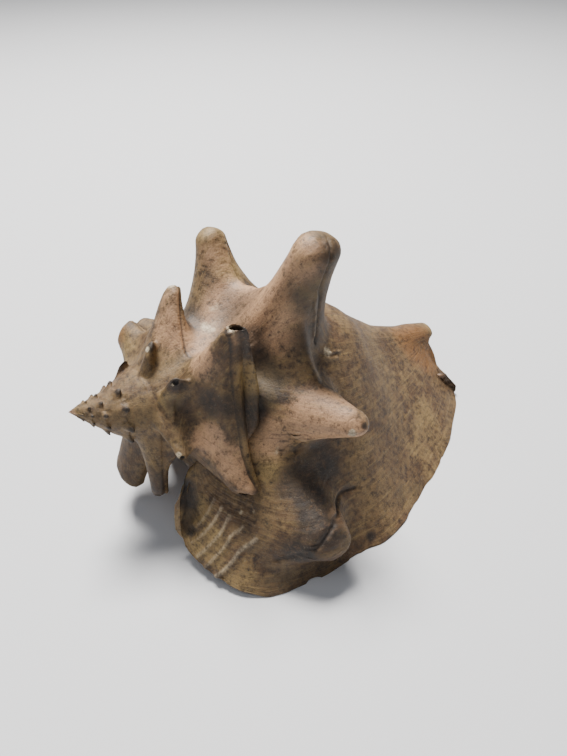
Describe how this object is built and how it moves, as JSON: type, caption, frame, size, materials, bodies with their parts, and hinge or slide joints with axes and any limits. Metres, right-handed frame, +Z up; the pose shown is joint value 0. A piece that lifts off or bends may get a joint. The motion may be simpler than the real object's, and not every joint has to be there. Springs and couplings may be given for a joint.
{
  "type": "conch shell",
  "caption": "Weathered conch shell with a knobbed spire, blunt shoulder spines and a broad flared lip, lying on its mouth, hollow inside the mouth.",
  "frame": {"origin": "middle of the footprint, on the surface that the shell lies on", "axes": "+Z up; +X along the shell from the tip of the spire to the siphonal canal; the flared lip is on the -Y side and the mouth faces down"},
  "size_m": [0.1724, 0.117, 0.1102],
  "materials": {
    "shell": "matte"
  },
  "bodies": {
    "root": {"shell": "shell"}
  },
  "joints": []
}
